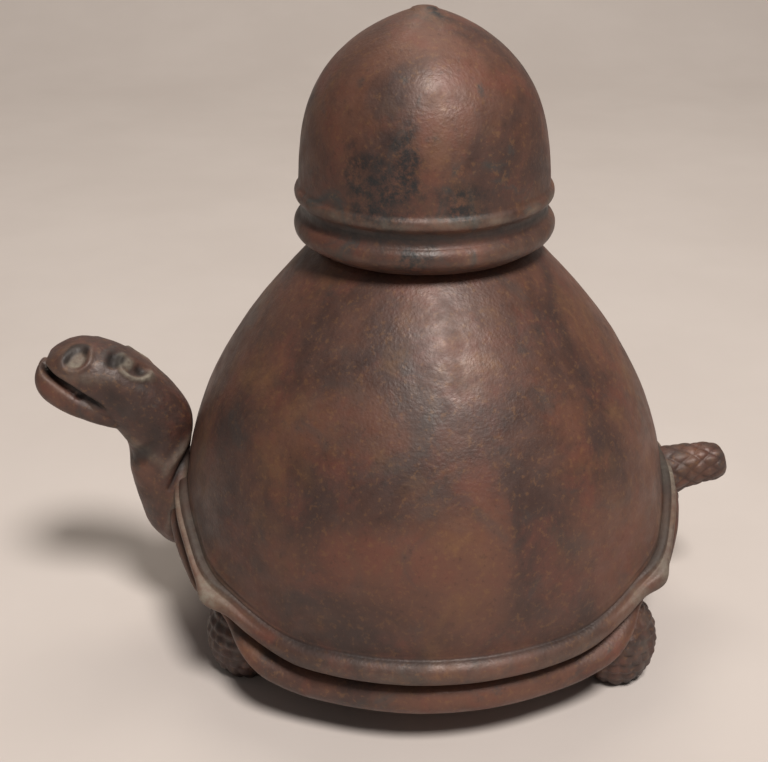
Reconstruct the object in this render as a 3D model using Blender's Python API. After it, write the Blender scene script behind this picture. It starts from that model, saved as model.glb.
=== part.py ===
"""A cast iron still bank in the form of a tortoise, as separate castings and fasteners.

Units are metres, +Z is up. The floor is z = 0 and the origin is under the middle of the
bounding box. The head points along -X, the tail along +X and the left flank faces -Y.
Every casting is placed by parenting to an empty on the dome's upright axis, and heights
in this file are heights above the floor.
"""

import math

import bmesh
import bpy
from mathutils import Matrix, Vector

MM = 0.001
DEG = math.pi / 180

# Fits
CLEARANCE = 0.3 * MM
SEAM_GAP = 0.4 * MM
WALL = 2.8 * MM

# Carapace: the dome that holds the coins
DOME_RADIUS = 41.8 * MM
DOME_RISE = 67.6 * MM
DOME_SQUARENESS = 2.33
DOME_TAPER = 1.25
MOUTH_RADIUS = 13.6 * MM
SEAT_WIDTH = 4.0 * MM
MOUTH_RING_DEPTH = 4.0 * MM
SLOT_LENGTH = 27.0 * MM
SLOT_WIDTH = 3.2 * MM
SLOT_DROP = 20.8 * MM

# Plastron: the lower tray
PLASTRON_UNDERSIDE = 6.5 * MM
PLASTRON_FLOOR = 2.8 * MM
PLASTRON_INSET = 2.6 * MM
PLASTRON_BEAD = 3.0 * MM
BELLY_SWELL = 1.4 * MM
BELLY_DRAW = 8.2 * MM
BELLY_FULLNESS = 0.75
LIP_BEAD = 1.6 * MM
BEAD_DROP = 1.0 * MM
PLASTRON_FLARE = 2.0 * MM
KNOB = 1.6 * MM
KNOB_DROP = 2.8 * MM

# The wavy seam: low along the flanks, a tip at each corner, an arch over neck and tail
CORNER_ANGLE = 35.5 * DEG
CORNER_SPREAD = 7.0 * DEG
FLANK_RUN = 25.0 * DEG
FLANK_STEEPNESS = 1.7
FLANK_DEPTH = 7.0 * MM
CORNER_STEP = 5.5 * MM
CROWN_STEP = 8.0 * MM
WAIST_STEP = 1.6 * MM
FLANK_BEAD = 2.2 * MM
ARCH_BEAD = 1.7 * MM
FLANK_OVERHANG = -0.3 * MM
ARCH_OVERHANG = 1.5 * MM
CROWN_OVERHANG = -0.2 * MM
CORNER_FLARE = 0.8 * MM
CORNER_FILLET = 4.5 * MM
FLANK_FILLET = 0.4 * MM

# Lid
LID_SHOULDER = 6.6 * MM
LID_RISE = 36.3 * MM
LID_SQUARENESS = 4.0
LID_TAPER = 0.747
LID_WALL = 3.0 * MM
LID_FLANGE = 2.8 * MM
SPIGOT_DEPTH = 3.2 * MM
SPIGOT_WALL = 2.6 * MM
RIM_BEAD = 2.4 * MM
RIM_RAISE = 1.0 * MM
RIM_BEAD_SWELL = 0.9 * MM
RING_BEAD = 1.0 * MM
RING_BEAD_SWELL = 0.9 * MM
RING_BEAD_HEIGHT = 8.4 * MM
TIP_RADIUS = 1.9 * MM
TIP_HEIGHT = 0.9 * MM

# Head, tail and feet
HEAD_LENGTH = 23.4 * MM
MOUTH_GAP = 1.4 * MM
MOUTH_DEPTH = 14.0 * MM
EYE_RADIUS = 2.2 * MM
TAIL_LENGTH = 12.6 * MM
FRONT_FOOT_ANGLE = 28.0 * DEG
REAR_FOOT_ANGLE = 37.0 * DEG
FRONT_FOOT_INSET = 3.2 * MM
REAR_FOOT_INSET = 0.4 * MM
FOOT_LENGTH = 6.4 * MM
FOOT_WIDTH = 6.8 * MM
FOOT_RISE = 1.9 * MM
FOOT_SINK = 1.4 * MM
PAD_RADIUS = 4.4 * MM
PAD_LIFT = 0.8 * MM

# Screws
SHANK_RADIUS = 1.4 * MM
HEAD_RADIUS = 2.6 * MM
HEAD_THICKNESS = 1.6 * MM
DRIVE_WIDTH = 0.7 * MM
DRIVE_DEPTH = 0.7 * MM
CASE_SCREW_ANGLE = 60.0 * DEG
LUG_RADIUS = 3.8 * MM
LUG_HEIGHT = 9.0 * MM
THREAD_DEPTH = 6.5 * MM
FOOT_THREAD = 4.0 * MM
END_THREAD = 4.5 * MM
END_SCREW_STEP = 1.4 * MM
NECK_SCREW_SPREAD = 3.1 * MM

# Fineness of the faceted surfaces
ARCH_STEPS = 8
FLANK_STEPS = 10
LATHE_STEPS = 44
SCREW_STEPS = 12
DOME_STEPS = 12
BEAD_STEPS = 6
INNER_STEPS = 7
BELLY_STEPS = 9
LID_STEPS = 11

# Worked out from the sizes above
HEAD_REACH = DOME_RADIUS + HEAD_LENGTH
TAIL_REACH = DOME_RADIUS + TAIL_LENGTH
DOME_OFFSET = (HEAD_REACH - TAIL_REACH) / 2
PLASTRON_RADIUS = DOME_RADIUS - PLASTRON_INSET
BELLY_RADIUS = DOME_RADIUS + BELLY_SWELL
BELLY_FOOT_RADIUS = BELLY_RADIUS - BELLY_DRAW
FLOOR_TOP = PLASTRON_UNDERSIDE + PLASTRON_FLOOR
FLANK_SEAM = PLASTRON_UNDERSIDE + FLANK_DEPTH
CORNER_SEAM = FLANK_SEAM + CORNER_STEP
CROWN_SEAM = CORNER_SEAM + CROWN_STEP
DOME_WIDE_HEIGHT = CORNER_SEAM + WAIST_STEP
SEAT_SHARE = (1 - ((MOUTH_RADIUS + SEAT_WIDTH) / DOME_RADIUS) ** (1 / DOME_TAPER)) ** (1 / DOME_SQUARENESS)
SEAT_HEIGHT = DOME_WIDE_HEIGHT + DOME_RISE * SEAT_SHARE
SLOT_HEIGHT = SEAT_HEIGHT - SLOT_DROP
LID_BASE = SEAT_HEIGHT + CLEARANCE
LID_RADIUS = MOUTH_RADIUS + LID_SHOULDER
FOOT_HEIGHT = PLASTRON_UNDERSIDE + FOOT_RISE
END_SCREW_HEIGHT = CORNER_SEAM + END_SCREW_STEP
RUNNING = SHANK_RADIUS + CLEARANCE


# ---------------------------------------------------------------- small helpers


def clamp(value):
    return min(1.0, max(0.0, value))


def smooth(value):
    share = clamp(value)
    return share * share * (3 - 2 * share)


def mix(first, second, share):
    return first + (second - first) * share


def bump(distance, width):
    return math.exp(-((distance / width) ** 2))


def polar(radius, azimuth, height):
    return Vector((radius * math.cos(azimuth), radius * math.sin(azimuth), height))


def skin(name, rings, loop=False):
    """A closed mesh over rings of points. A ring of one point is a pole."""
    bm = bmesh.new()
    made = [[bm.verts.new(point) for point in ring] for ring in rings]
    pairs = list(zip(made, made[1:]))
    if loop:
        pairs.append((made[-1], made[0]))
    for upper, lower in pairs:
        count = max(len(upper), len(lower))
        for i in range(count):
            j = (i + 1) % count
            if len(lower) > 1:
                bm.faces.new((upper[i % len(upper)], lower[i], lower[j]))
            if len(upper) > 1:
                bm.faces.new((upper[i], lower[j % len(lower)], upper[j]))
    bmesh.ops.recalc_face_normals(bm, faces=bm.faces)
    return finished(name, bm)


def finished(name, bm):
    bmesh.ops.triangulate(bm, faces=[f for f in bm.faces if len(f.verts) > 4])
    mesh = bpy.data.meshes.new(name)
    bm.to_mesh(mesh)
    bm.free()
    return mesh


def lathe(name, profile, steps=LATHE_STEPS):
    """Turns (radius, height) pairs about Z. A radius of 0 closes the shape on the axis."""
    rings = []
    for radius, height in profile:
        if radius == 0:
            rings.append([Vector((0, 0, height))])
            continue
        rings.append([polar(radius, 2 * math.pi * i / steps, height) for i in range(steps)])
    return skin(name, rings)


def cylinder(radius, low, high, steps=SCREW_STEPS):
    return lathe("cylinder", [(0, high), (radius, high), (radius, low), (0, low)], steps)


def box(length, width, height):
    bm = bmesh.new()
    bmesh.ops.create_cube(bm, size=1)
    bmesh.ops.scale(bm, vec=(length, width, height), verts=bm.verts)
    return finished("box", bm)


def moved(mesh, matrix):
    copy = mesh.copy()
    copy.transform(matrix)
    return copy


def boolean(mesh, operation, others):
    """The mesh after one exact Boolean with each of the others."""
    scene = bpy.context.scene
    base = bpy.data.objects.new("boolean_base", mesh)
    scene.collection.objects.link(base)
    helpers = [base]
    for other in others:
        tool = bpy.data.objects.new("boolean_tool", other)
        scene.collection.objects.link(tool)
        helpers.append(tool)
        modifier = base.modifiers.new("Boolean", "BOOLEAN")
        modifier.operation = operation
        modifier.solver = "EXACT"
        modifier.object = tool
    graph = bpy.context.evaluated_depsgraph_get()
    result = bpy.data.meshes.new_from_object(base.evaluated_get(graph))
    for helper in helpers:
        bpy.data.objects.remove(helper)
    result.name = mesh.name
    return result


def upright(azimuth, radius, height=0.0):
    """Places a shape made about Z at a radius and azimuth, turned to face outwards."""
    turn = Matrix.Rotation(azimuth, 4, "Z")
    return turn @ Matrix.Translation((radius, 0, height))


# ---------------------------------------------------------------- shell surfaces


def end_angle(azimuth):
    """Angle from the nearer end of the animal: 0 over neck or tail, 90 degrees at a flank."""
    return math.atan2(abs(math.sin(azimuth)), abs(math.cos(azimuth)))


def azimuths():
    """Directions round the shell, closer together near the four corners."""
    ends = [CORNER_ANGLE * (1 - (1 - i / ARCH_STEPS) ** 1.4) for i in range(ARCH_STEPS)]
    run = math.pi / 2 - CORNER_ANGLE
    quarter = ends + [CORNER_ANGLE + run * (j / FLANK_STEPS) ** 1.4 for j in range(FLANK_STEPS)]
    half = quarter + [math.pi / 2] + [math.pi - angle for angle in reversed(quarter[1:])]
    return half + [angle + math.pi for angle in half]


def arch_share(azimuth):
    """0 along a flank and 1 under an arch, changing over a short stretch at the corner."""
    return smooth((CORNER_ANGLE + CORNER_SPREAD - end_angle(azimuth)) / (2 * CORNER_SPREAD))


def seam_height(azimuth):
    """Height of the carapace's lower edge."""
    turn = end_angle(azimuth)
    if turn < CORNER_ANGLE:
        return mix(CROWN_SEAM, CORNER_SEAM, (turn / CORNER_ANGLE) ** 2)
    rise = clamp(1 - (turn - CORNER_ANGLE) / FLANK_RUN) ** FLANK_STEEPNESS
    return mix(FLANK_SEAM, CORNER_SEAM, rise)


def domed(radius, rise, height):
    above = clamp((height - DOME_WIDE_HEIGHT) / rise)
    below = clamp((DOME_WIDE_HEIGHT - height) / DOME_WIDE_HEIGHT)
    return radius * (1 - above**DOME_SQUARENESS) ** DOME_TAPER * (1 - 0.1 * below**2)


def dome_outside(height):
    return domed(DOME_RADIUS, DOME_RISE, height)


def dome_inside(height):
    return domed(DOME_RADIUS - WALL, DOME_RISE - 1.15 * WALL, height)


def margin(azimuth, grow=0.0):
    """Centre radius, centre height and radius of the rolled bead on the carapace's edge."""
    share = arch_share(azimuth)
    bead = mix(FLANK_BEAD, ARCH_BEAD, share)
    crown = clamp(1 - end_angle(azimuth) / CORNER_ANGLE)
    arch = mix(ARCH_OVERHANG, CROWN_OVERHANG, crown)
    flare = CORNER_FLARE * bump(end_angle(azimuth) - CORNER_ANGLE, 9 * DEG)
    radius = DOME_RADIUS + mix(FLANK_OVERHANG, arch, share) + flare
    return radius, seam_height(azimuth) + bead, bead + grow


def bead_start(azimuth):
    """Angle on the carapace's bead where the dome meets it, and the radius and height there."""
    centre, height, bead = margin(azimuth)
    start = mix(75, 110, arch_share(azimuth)) * DEG
    return start, centre + bead * math.cos(start), height + bead * math.sin(start)


def shell_radius(azimuth, height):
    """The dome's outside, which flares out to meet the bead near a corner."""
    _, lip, valley = bead_start(azimuth)
    near = bump(end_angle(azimuth) - CORNER_ANGLE, 12 * DEG)
    reach = mix(FLANK_FILLET, CORNER_FILLET, near)
    lift = max(0.0, lip - dome_outside(valley))
    return dome_outside(height) + lift * math.exp((valley - height) / reach)


def carapace_section(azimuth):
    """The shell's closed outline at one azimuth, as (radius, height) pairs."""
    centre, height, bead = margin(azimuth)
    start, _, valley = bead_start(azimuth)
    outline = []
    for i in range(DOME_STEPS + 1):
        z = mix(SEAT_HEIGHT, valley, i / DOME_STEPS)
        outline.append((shell_radius(azimuth, z), z))
    for i in range(1, BEAD_STEPS + 1):
        angle = mix(start, -90 * DEG, i / BEAD_STEPS)
        outline.append((centre + bead * math.cos(angle), height + bead * math.sin(angle)))
    ring_bottom = SEAT_HEIGHT - MOUTH_RING_DEPTH
    for i in range(INNER_STEPS + 1):
        z = mix(height - bead, ring_bottom, i / INNER_STEPS)
        outline.append((dome_inside(z), z))
    outline += [(MOUTH_RADIUS, ring_bottom), (MOUTH_RADIUS, SEAT_HEIGHT)]
    return outline


def swept(name, section, loop):
    """A mesh through the section at every azimuth. A radius of 0 is a pole."""
    turns = azimuths()
    columns = [section(azimuth) for azimuth in turns]
    rings = []
    for index, (radius, height) in enumerate(columns[0]):
        if radius == 0:
            rings.append([Vector((0, 0, height))])
            continue
        rings.append([polar(c[index][0], turn, c[index][1]) for c, turn in zip(columns, turns)])
    return skin(name, rings, loop)


def belly_arch(height):
    """Radius of the plastron's wall under an arch, drawn in towards the underside."""
    rise = (height - PLASTRON_UNDERSIDE) / (CORNER_SEAM - PLASTRON_UNDERSIDE)
    return mix(BELLY_FOOT_RADIUS, BELLY_RADIUS, clamp(rise) ** BELLY_FULLNESS)


def plastron_bead(azimuth):
    """Height and radius of the plastron's bead, which runs along under the seam."""
    share = smooth((CORNER_ANGLE + 16 * DEG - end_angle(azimuth)) / (18 * DEG))
    bead = mix(PLASTRON_BEAD, LIP_BEAD, share)
    return seam_height(azimuth) - bead - BEAD_DROP, bead


def plastron_outside(azimuth, height):
    middle, size = plastron_bead(azimuth)
    near = bump(end_angle(azimuth) - CORNER_ANGLE - 9 * DEG, 13 * DEG)
    flush = PLASTRON_FLARE * near * bump(height - middle, 2 * LIP_BEAD)
    wall = mix(PLASTRON_RADIUS + flush, belly_arch(height), arch_share(azimuth))
    bead = size * math.sqrt(max(0.0, 1 - ((height - middle) / size) ** 2))
    away = bump(end_angle(azimuth) - CORNER_ANGLE, 3.5 * DEG)
    knob = KNOB * away * bump(height - (CORNER_SEAM - KNOB_DROP), 2.2 * MM)
    return wall + bead + knob


def plastron_section(azimuth):
    """The tray's outline at one azimuth, from the middle of its underside to its floor."""
    top = seam_height(azimuth) - SEAM_GAP
    outline = [(0, PLASTRON_UNDERSIDE)]
    for i in range(BELLY_STEPS + 1):
        z = mix(PLASTRON_UNDERSIDE, top, i / BELLY_STEPS)
        outline.append((plastron_outside(azimuth, z), z))
    share = arch_share(azimuth)
    for i in range(INNER_STEPS + 1):
        z = mix(top, FLOOR_TOP, i / INNER_STEPS)
        outline.append((mix(PLASTRON_RADIUS, belly_arch(z), share) - WALL, z))
    return outline + [(0, FLOOR_TOP)]


def body_plug(azimuth):
    """Both shells as one solid, larger by the clearance, to cut what sits against them."""
    centre, height, bead = margin(azimuth, CLEARANCE)
    top = seam_height(azimuth) - SEAM_GAP
    outline = [(0, PLASTRON_UNDERSIDE - CLEARANCE)]
    for i in range(BELLY_STEPS + 1):
        z = mix(PLASTRON_UNDERSIDE, top, i / BELLY_STEPS)
        drop = CLEARANCE if i == 0 else 0
        outline.append((plastron_outside(azimuth, z) + CLEARANCE, z - drop))
    for i in range(BEAD_STEPS + 1):
        angle = mix(-60, 150, i / BEAD_STEPS) * DEG
        outline.append((centre + bead * math.cos(angle), height + bead * math.sin(angle)))
    for i in range(1, DOME_STEPS):
        z = mix(height + bead, SEAT_HEIGHT, i / DOME_STEPS)
        outline.append((shell_radius(azimuth, z) + 1.5 * CLEARANCE, z))
    return outline + [(0, SEAT_HEIGHT)]


# ---------------------------------------------------------------- castings


def case_screw_spots():
    """Azimuth and radius of the four screws that hold the two shells together."""
    radius = PLASTRON_RADIUS - LUG_RADIUS + CLEARANCE
    turns = [CASE_SCREW_ANGLE, math.pi - CASE_SCREW_ANGLE]
    return [(turn, radius) for turn in turns + [turn + math.pi for turn in turns]]


def foot_spots():
    """Azimuth and radius of each foot. The head end is at 180 degrees."""
    front = PLASTRON_RADIUS - FRONT_FOOT_INSET
    rear = PLASTRON_RADIUS - REAR_FOOT_INSET
    return {
        "front_left_foot": (math.pi + FRONT_FOOT_ANGLE, front),
        "front_right_foot": (math.pi - FRONT_FOOT_ANGLE, front),
        "rear_left_foot": (-REAR_FOOT_ANGLE, rear),
        "rear_right_foot": (REAR_FOOT_ANGLE, rear),
    }


def foot_screw_radius():
    """The screw's head stays clear of the tray's wall."""
    return belly_arch(FLOOR_TOP) - WALL - HEAD_RADIUS - 2 * CLEARANCE


def carapace_mesh():
    """Dome, mouth ring and wavy margin, with four screw lugs inside and the coin slot."""
    shell = swept("carapace", carapace_section, True)
    lug = cylinder(LUG_RADIUS, FLANK_SEAM + SEAM_GAP, FLANK_SEAM + LUG_HEIGHT)
    hole = cylinder(RUNNING, FLANK_SEAM - WALL, FLANK_SEAM + THREAD_DEPTH + CLEARANCE)
    lugs = [moved(lug, upright(*spot)) for spot in case_screw_spots()]
    holes = [moved(hole, upright(*spot)) for spot in case_screw_spots()]
    slope = math.atan2(
        dome_outside(SLOT_HEIGHT - MM) - dome_outside(SLOT_HEIGHT + MM), 2 * MM
    )
    place = Matrix.Translation((0, dome_outside(SLOT_HEIGHT), SLOT_HEIGHT))
    slot = box(SLOT_LENGTH, 6 * WALL, SLOT_WIDTH)
    slot = moved(slot, place @ Matrix.Rotation(slope, 4, "X"))
    shell = boolean(shell, "UNION", lugs)
    return boolean(shell, "DIFFERENCE", holes + [slot])


def plastron_mesh():
    """Tray with a wavy wall, four bosses for the case screws and every fastener's hole."""
    tray = swept("plastron", plastron_section, False)
    boss_top = FLANK_SEAM - SEAM_GAP
    boss = cylinder(LUG_RADIUS, FLOOR_TOP - WALL / 2, boss_top)
    bosses = [moved(boss, upright(*spot)) for spot in case_screw_spots()]
    sink = PLASTRON_UNDERSIDE + HEAD_THICKNESS + CLEARANCE
    bore = [(0, boss_top + MM), (RUNNING, boss_top + MM), (RUNNING, sink)]
    bore += [(HEAD_RADIUS + CLEARANCE, sink), (HEAD_RADIUS + CLEARANCE, 0), (0, 0)]
    counterbore = lathe("counterbore", bore, SCREW_STEPS)
    cuts = [moved(counterbore, upright(*spot)) for spot in case_screw_spots()]
    drill = cylinder(RUNNING, 0, FLOOR_TOP + WALL)
    for azimuth, _ in foot_spots().values():
        cuts.append(moved(drill, upright(azimuth, foot_screw_radius())))
    for azimuth in end_screws().values():
        cuts.append(moved(cylinder(RUNNING, -WALL, 2 * WALL), outward(azimuth)))
    tray = boolean(tray, "UNION", bosses)
    return boolean(tray, "DIFFERENCE", cuts)


def end_screws():
    """Azimuth of each level screw that holds the neck or the tail."""
    turn = NECK_SCREW_SPREAD / BELLY_RADIUS
    return {"neck_screw_left": math.pi + turn, "neck_screw_right": math.pi - turn, "tail_screw": 0.0}


def outward(azimuth):
    """Turns a shape made along +Z to point out of the end wall, level, from its inner face."""
    end = Matrix.Rotation(0 if math.cos(azimuth) > 0 else math.pi, 4, "Z")
    face = belly_arch(END_SCREW_HEIGHT) - WALL
    spot = end.inverted() @ polar(face, azimuth, END_SCREW_HEIGHT)
    return end @ Matrix.Translation(spot) @ Matrix.Rotation(math.pi / 2, 4, "Y")


def head_standoff():
    """How far a level screw's head stands off the curved wall that it pulls against."""
    edge = belly_arch(END_SCREW_HEIGHT - HEAD_RADIUS)
    return belly_arch(END_SCREW_HEIGHT) - edge + 3 * CLEARANCE


def acorn(radius, rise, height):
    share = clamp((height - LID_BASE) / rise)
    return radius * (1 - share**LID_SQUARENESS) ** LID_TAPER


def lid_mesh():
    """Hollow acorn lid with a rolled rim, a ring bead, a tip and a locating spigot."""
    top = LID_BASE + LID_RISE
    ring = LID_BASE + RING_BEAD_HEIGHT
    rim = LID_BASE + RIM_BEAD + RIM_RAISE
    profile = [(0, top + TIP_HEIGHT / 2), (TIP_RADIUS / 2, top + TIP_HEIGHT / 4)]
    shoulder = ring + 2 * RING_BEAD
    for i in range(1, LID_STEPS + 1):
        z = top - (top - shoulder) * (i / LID_STEPS) ** 1.7
        profile.append((max(TIP_RADIUS, acorn(LID_RADIUS, LID_RISE, z)), z))
    for angle in (60, 0, -60):
        swell = RING_BEAD_SWELL * math.cos(angle * DEG)
        profile.append((LID_RADIUS + swell, ring + RING_BEAD * math.sin(angle * DEG)))
    profile.append((LID_RADIUS - RING_BEAD_SWELL / 2, (ring + rim + RIM_BEAD) / 2 - MM / 2))
    for angle in (65, 35, 0, -35, -65):
        swell = RIM_BEAD_SWELL - RIM_BEAD * (1 - math.cos(angle * DEG))
        profile.append((LID_RADIUS + swell, rim + RIM_BEAD * math.sin(angle * DEG)))
    spigot = MOUTH_RADIUS - CLEARANCE
    bore = spigot - SPIGOT_WALL
    lip = LID_BASE - SPIGOT_DEPTH
    profile += [(LID_RADIUS - RIM_BEAD, LID_BASE), (spigot, LID_BASE), (spigot, lip)]
    profile += [(bore, lip), (bore, LID_BASE + LID_FLANGE)]
    for i in range(LID_STEPS // 2):
        z = mix(LID_BASE + LID_FLANGE, top - LID_WALL, 1 - (1 - i / (LID_STEPS // 2)) ** 1.5)
        profile.append((acorn(LID_RADIUS - LID_WALL, LID_RISE - LID_WALL, z), z))
    profile.append((0, top - LID_WALL))
    return lathe("lid", profile)


def ellipse(centre, tilt, tall, wide, steps=14):
    """A ring across a path in the XZ plane. Tilt 0 faces -X and 90 degrees faces up."""
    ring = []
    for i in range(steps):
        angle = 2 * math.pi * i / steps
        rise = tall * math.cos(angle)
        step = Vector((rise * math.sin(tilt), wide * math.sin(angle), rise * math.cos(tilt)))
        ring.append(centre + step)
    return ring


# Each station is reach beyond the dome, height above the neck's screws, tilt in degrees, half
# height and half width.
NECK_AND_HEAD = [
    (0.2, 0.6, 10, 5.4, 7.0),
    (3.6, 2.2, 30, 5.2, 6.6),
    (5.6, 6.0, 68, 4.4, 5.6),
    (5.2, 11.1, 95, 4.6, 5.2),
    (4.1, 16.1, 95, 5.8, 5.5),
    (4.8, 20.4, 72, 7.0, 5.9),
    (8.0, 23.8, 40, 7.3, 6.3),
    (11.7, 25.5, 18, 7.3, 6.5),
    (15.2, 26.5, 8, 7.1, 6.3),
    (18.5, 26.8, 3, 6.1, 5.6),
    (21.2, 26.5, 0, 4.7, 4.5),
    (22.8, 26.2, 0, 2.9, 3.0),
]
HEAD_LEVEL = 26.2 * MM
JAW = (17.7, 28.9, 35)
EYE = (5.6, 4.4, 27.2)


def beyond(reach, height, side=0.0):
    """A point forward of the dome's front, and above the neck's screws."""
    return Vector((-DOME_RADIUS - reach * MM, side * MM, END_SCREW_HEIGHT + height * MM))


def head_and_neck_mesh():
    """Neck rising from the front wall to a level head with its mouth a little open."""
    rings = []
    for reach, height, tilt, tall, wide in NECK_AND_HEAD:
        rings.append(ellipse(beyond(reach, height), tilt * DEG, tall * MM, wide * MM))
    root = beyond(NECK_AND_HEAD[0][0] - 2, NECK_AND_HEAD[0][1])
    nose = Vector((-HEAD_REACH, 0, END_SCREW_HEIGHT + HEAD_LEVEL))
    head = skin("head_and_neck", [[root]] + rings + [[nose]])
    mouth = box(MOUTH_DEPTH, 5 * NECK_AND_HEAD[0][4] * MM, MOUTH_GAP)
    reach, height, tilt = JAW
    jaw = Matrix.Translation(beyond(reach, height)) @ Matrix.Rotation(tilt * DEG, 4, "Y")
    cuts = [moved(mouth, jaw), swept("plug", body_plug, False)]
    for name, azimuth in end_screws().items():
        if "neck" in name:
            cuts.append(moved(end_drill(), outward(azimuth)))
    reach, side, height = EYE
    spots = [beyond(reach, height, side), beyond(reach, height, -side)]
    eyes = [moved(ball(EYE_RADIUS), Matrix.Translation(spot)) for spot in spots]
    return boolean(boolean(head, "UNION", eyes), "DIFFERENCE", cuts)


def ball(radius, steps=10):
    rings = [(0, radius)]
    for i in range(1, steps // 2):
        turn = math.pi * i / (steps // 2)
        rings.append((radius * math.sin(turn), radius * math.cos(turn)))
    return lathe("ball", rings + [(0, -radius)], steps)


def end_drill():
    return cylinder(RUNNING, 0, WALL + END_THREAD + CLEARANCE)


# Each station is distance in from the tail's tip, height above the tail's screw and radius.
TAIL = [
    (11.5, 2.8, 4.6),
    (8.4, 5.0, 4.0),
    (6.4, 6.1, 3.4),
    (4.6, 6.6, 3.2),
    (2.6, 6.9, 3.2),
    (1.0, 7.0, 2.7),
    (0.25, 7.0, 1.7),
]


def tail_mesh():
    """Stub tail, thick where it leaves the rear wall and with a round end."""
    rings = []
    for inset, height, radius in TAIL:
        centre = Vector((TAIL_REACH - inset * MM, 0, END_SCREW_HEIGHT + height * MM))
        rings.append(ellipse(centre, 0, radius * MM, radius * MM, 12))
    root = Vector((TAIL_REACH - (TAIL[0][0] + 1) * MM, 0, END_SCREW_HEIGHT + TAIL[0][1] * MM))
    tip = Vector((TAIL_REACH, 0, END_SCREW_HEIGHT + TAIL[-1][1] * MM))
    tail = skin("tail", [[root]] + rings + [[tip]])
    drill = moved(end_drill(), outward(end_screws()["tail_screw"]))
    return boolean(tail, "DIFFERENCE", [swept("plug", body_plug, False), drill])


def foot_mesh(name, azimuth, radius):
    """A rounded paw with a flat sole, cut to sit under and against the plastron."""
    bm = bmesh.new()
    bmesh.ops.create_uvsphere(bm, u_segments=16, v_segments=10, radius=1)
    bmesh.ops.scale(bm, vec=(FOOT_LENGTH, FOOT_WIDTH, FOOT_HEIGHT), verts=bm.verts)
    spot = upright(azimuth, radius, FOOT_HEIGHT - FOOT_SINK)
    bmesh.ops.transform(bm, matrix=spot, verts=bm.verts)
    every = list(bm.verts) + list(bm.edges) + list(bm.faces)
    cut = bmesh.ops.bisect_plane(bm, geom=every, plane_no=(0, 0, -1), clear_outer=True)
    rim = [item for item in cut["geom_cut"] if isinstance(item, bmesh.types.BMEdge)]
    bmesh.ops.contextual_create(bm, geom=rim)
    bmesh.ops.recalc_face_normals(bm, faces=bm.faces)
    spot = upright(azimuth, foot_screw_radius())
    pad = moved(cylinder(PAD_RADIUS, PAD_LIFT, PLASTRON_UNDERSIDE + WALL / 2), spot)
    foot = boolean(finished(name, bm), "UNION", [pad])
    drill = cylinder(RUNNING, PLASTRON_UNDERSIDE - FOOT_THREAD - CLEARANCE, FLOOR_TOP)
    return boolean(foot, "DIFFERENCE", [swept("plug", body_plug, False), moved(drill, spot)])


def screw_mesh(name, length):
    """A slotted cheese head screw: head above z = 0, shank below."""
    profile = [(0, HEAD_THICKNESS), (HEAD_RADIUS * 0.85, HEAD_THICKNESS)]
    profile += [(HEAD_RADIUS, HEAD_THICKNESS * 0.75), (HEAD_RADIUS, 0), (SHANK_RADIUS, 0)]
    profile += [(SHANK_RADIUS, -length + SHANK_RADIUS / 2), (SHANK_RADIUS / 2, -length), (0, -length)]
    body = lathe(name, profile, SCREW_STEPS)
    drive = moved(
        box(4 * HEAD_RADIUS, DRIVE_WIDTH, 2 * DRIVE_DEPTH), Matrix.Translation((0, 0, HEAD_THICKNESS))
    )
    return boolean(body, "DIFFERENCE", [drive])


# ---------------------------------------------------------------- assembly


def material(name, colour, roughness, metallic):
    made = bpy.data.materials.new(name)
    made.use_nodes = True
    shader = made.node_tree.nodes["Principled BSDF"]
    shader.inputs["Base Color"].default_value = (*colour, 1)
    shader.inputs["Roughness"].default_value = roughness
    shader.inputs["Metallic"].default_value = metallic
    return made


def place(name, mesh, finish, parent, matrix=None):
    mesh.materials.clear()
    mesh.materials.append(finish)
    mesh.shade_smooth()
    mesh.set_sharp_from_angle(angle=40 * DEG)
    obj = bpy.data.objects.new(name, mesh)
    bpy.context.scene.collection.objects.link(obj)
    obj.parent = parent
    obj.matrix_basis = matrix or Matrix.Identity(4)
    return obj


def empty(name, location, parent=None):
    obj = bpy.data.objects.new(name, None)
    bpy.context.scene.collection.objects.link(obj)
    obj.location = location
    obj.parent = parent
    return obj


def place_screws(steel, parent):
    case = screw_mesh("case_screw", FLANK_SEAM + THREAD_DEPTH - PLASTRON_UNDERSIDE - HEAD_THICKNESS)
    flip = Matrix.Rotation(math.pi, 4, "X")
    for number, (azimuth, radius) in enumerate(case_screw_spots(), 1):
        spot = upright(azimuth, radius, PLASTRON_UNDERSIDE + HEAD_THICKNESS) @ flip
        place(f"case_screw_{number}", case.copy(), steel, parent, spot)
    short = screw_mesh("foot_screw", PLASTRON_FLOOR + CLEARANCE + FOOT_THREAD)
    for foot, (azimuth, _) in foot_spots().items():
        spot = upright(azimuth, foot_screw_radius(), FLOOR_TOP + CLEARANCE)
        place(f"{foot}_screw", short.copy(), steel, parent, spot)
    for name, azimuth in end_screws().items():
        level = screw_mesh(name, WALL + END_THREAD)
        step = Matrix.Translation((0, 0, -head_standoff()))
        place(name, level, steel, parent, outward(azimuth) @ step @ flip)


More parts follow.
